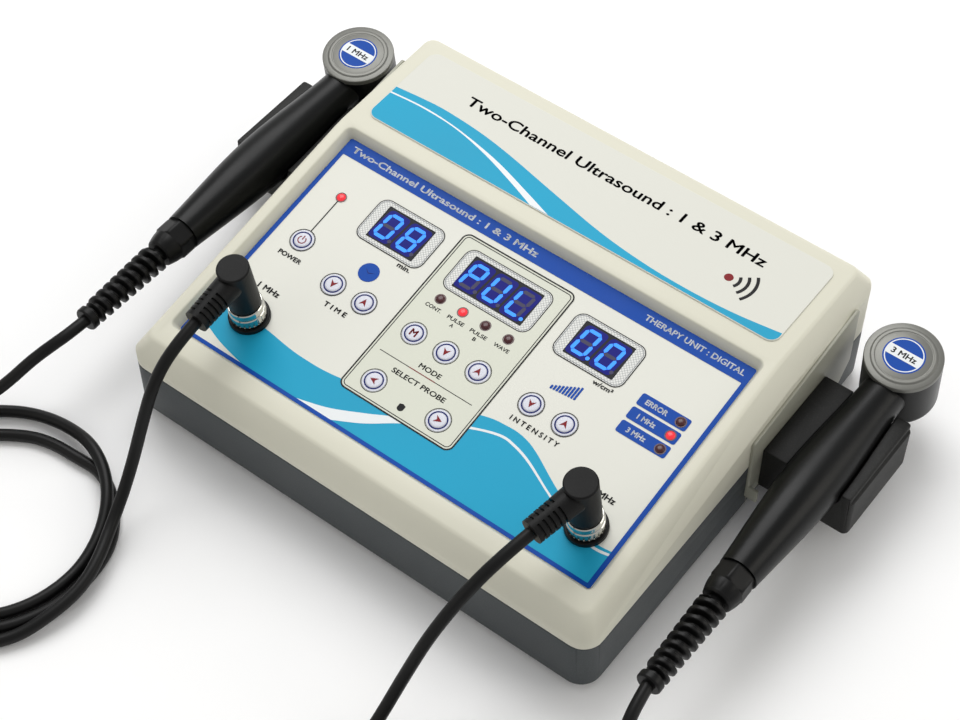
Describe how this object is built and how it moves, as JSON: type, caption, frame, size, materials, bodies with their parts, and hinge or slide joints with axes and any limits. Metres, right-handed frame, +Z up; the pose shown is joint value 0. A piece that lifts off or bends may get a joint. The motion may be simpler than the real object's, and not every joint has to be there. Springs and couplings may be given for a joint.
{
  "type": "ultrasound therapy device",
  "caption": "Desktop ultrasound therapy unit with a sloping control panel, treatment probes resting in side cradles, and coiled leads to its panel sockets.",
  "frame": {"origin": "middle of the console and its holders, on the surface under the feet", "axes": "+Z up, +Y to the back, +X to the right as a person faces the control panel"},
  "size_m": [0.3795, 0.3744, 0.0903],
  "materials": {
    "ivory_plastic": "fine moulded texture",
    "slate_plastic": "fine moulded texture",
    "black_plastic": "satin",
    "holder_plastic": "lightly sanded",
    "handle_plastic": "satin",
    "plug_rubber": "matte moulded",
    "cord_rubber": "satin sheath",
    "rubber": "matte",
    "printed_overlay": "polyester, light texture",
    "printed_label": "polyester, light texture",
    "key_print": "embossed polyester",
    "tinted_filter": "gloss tinted",
    "display_body": "gloss",
    "red_lamp": "clear domed",
    "circuit_board": "solder mask",
    "transformer_steel": "varnished laminations",
    "aluminium": "extruded",
    "face_aluminium": "turned, bead blasted",
    "chrome": "polished",
    "plated_steel": "zinc plated",
    "plated_brass": "nickel plated",
    "capacitor_sleeve": "shrink sleeve",
    "rocker_plastic": "gloss",
    "bracket_paint": "powder coat",
    "ceramic": "silvered ceramic"
  },
  "bodies": {
    "root": {"lower_shell": "slate_plastic", "upper_shell": "ivory_plastic", "rear_panel": "slate_plastic", "rubber_feet": "rubber", "case_screws": "plated_steel", "label_plate": "printed_label", "front_overlay": "printed_overlay", "display_windows": "tinted_filter", "display_modules": "display_body", "indicator_leds": "red_lamp", "display_board": "circuit_board", "key_switches": "black_plastic", "main_board": "circuit_board", "mains_transformer": "transformer_steel", "heat_sink": "aluminium", "power_transistors": "black_plastic", "filter_capacitors": "capacitor_sleeve", "mains_inlet": "black_plastic", "inlet_pins": "plated_brass", "power_switch": "black_plastic", "probe_sockets": "plated_brass", "socket_washers": "black_plastic", "socket_nuts": "plated_steel", "left_plug": "plug_rubber", "right_plug": "plug_rubber", "holder_screws": "plated_steel", "left_bracket": "bracket_paint", "left_cradle": "holder_plastic", "left_lead": "cord_rubber", "left_coil": "cord_rubber", "left_return": "cord_rubber", "right_bracket": "bracket_paint", "right_cradle": "holder_plastic", "right_lead": "cord_rubber", "right_coil": "cord_rubber", "right_return": "cord_rubber"},
    "key_power_cap": {"key_power": "key_print"},
    "key_time_down_cap": {"key_time_down": "key_print"},
    "key_time_up_cap": {"key_time_up": "key_print"},
    "key_mode_select_cap": {"key_mode_select": "key_print"},
    "key_mode_down_cap": {"key_mode_down": "key_print"},
    "key_mode_up_cap": {"key_mode_up": "key_print"},
    "key_probe_left_cap": {"key_probe_left": "key_print"},
    "key_probe_right_cap": {"key_probe_right": "key_print"},
    "key_intensity_down_cap": {"key_intensity_down": "key_print"},
    "key_intensity_up_cap": {"key_intensity_up": "key_print"},
    "rocker": {"power_rocker": "rocker_plastic"},
    "drawer": {"fuse_drawer": "black_plastic"},
    "left_ring": {"left_coupling_ring": "chrome"},
    "right_ring": {"right_coupling_ring": "chrome"},
    "left_probe": {"left_handle": "handle_plastic", "left_head": "handle_plastic", "left_face": "face_aluminium", "left_crystal": "ceramic", "left_gland": "black_plastic"},
    "right_probe": {"right_handle": "handle_plastic", "right_head": "handle_plastic", "right_face": "face_aluminium", "right_crystal": "ceramic", "right_gland": "black_plastic"}
  },
  "joints": [
    {"name": "key_power_press", "type": "slide", "parent": "root", "child": "key_power_cap", "axis": [0, 0.1564, -0.9877], "range_m": [0, 0.0005], "stiffness_N_per_m": 400, "springref_m": -0.001},
    {"name": "key_time_down_press", "type": "slide", "parent": "root", "child": "key_time_down_cap", "axis": [0, 0.1564, -0.9877], "range_m": [0, 0.0005], "stiffness_N_per_m": 400, "springref_m": -0.001},
    {"name": "key_time_up_press", "type": "slide", "parent": "root", "child": "key_time_up_cap", "axis": [0, 0.1564, -0.9877], "range_m": [0, 0.0005], "stiffness_N_per_m": 400, "springref_m": -0.001},
    {"name": "key_mode_select_press", "type": "slide", "parent": "root", "child": "key_mode_select_cap", "axis": [0, 0.1564, -0.9877], "range_m": [0, 0.0005], "stiffness_N_per_m": 400, "springref_m": -0.001},
    {"name": "key_mode_down_press", "type": "slide", "parent": "root", "child": "key_mode_down_cap", "axis": [0, 0.1564, -0.9877], "range_m": [0, 0.0005], "stiffness_N_per_m": 400, "springref_m": -0.001},
    {"name": "key_mode_up_press", "type": "slide", "parent": "root", "child": "key_mode_up_cap", "axis": [0, 0.1564, -0.9877], "range_m": [0, 0.0005], "stiffness_N_per_m": 400, "springref_m": -0.001},
    {"name": "key_probe_left_press", "type": "slide", "parent": "root", "child": "key_probe_left_cap", "axis": [0, 0.1564, -0.9877], "range_m": [0, 0.0005], "stiffness_N_per_m": 400, "springref_m": -0.001},
    {"name": "key_probe_right_press", "type": "slide", "parent": "root", "child": "key_probe_right_cap", "axis": [0, 0.1564, -0.9877], "range_m": [0, 0.0005], "stiffness_N_per_m": 400, "springref_m": -0.001},
    {"name": "key_intensity_down_press", "type": "slide", "parent": "root", "child": "key_intensity_down_cap", "axis": [0, 0.1564, -0.9877], "range_m": [0, 0.0005], "stiffness_N_per_m": 400, "springref_m": -0.001},
    {"name": "key_intensity_up_press", "type": "slide", "parent": "root", "child": "key_intensity_up_cap", "axis": [0, 0.1564, -0.9877], "range_m": [0, 0.0005], "stiffness_N_per_m": 400, "springref_m": -0.001},
    {"name": "rocker_tip", "type": "hinge", "parent": "root", "child": "rocker", "pos_m": [0.005, 0.1, 0.034], "axis": [1, 0, 0], "range_deg": [0, 16]},
    {"name": "fuse_drawer_pull", "type": "slide", "parent": "root", "child": "drawer", "axis": [0, 1, 0], "range_m": [0, 0.018]},
    {"name": "left_ring_turn", "type": "hinge", "parent": "root", "child": "left_ring", "pos_m": [-0.0885, -0.06768, 0.04972], "axis": [0, -0.1564, 0.9877], "range_deg": [0, 330]},
    {"name": "right_ring_turn", "type": "hinge", "parent": "root", "child": "right_ring", "pos_m": [0.0935, -0.06768, 0.04972], "axis": [0, -0.1564, 0.9877], "range_deg": [0, 330]},
    {"name": "left_probe_lift", "type": "slide", "parent": "root", "child": "left_probe", "axis": [0, 0, 1], "range_m": [0, 0.028]},
    {"name": "right_probe_lift", "type": "slide", "parent": "root", "child": "right_probe", "axis": [0, 0, 1], "range_m": [0, 0.028]}
  ]
}
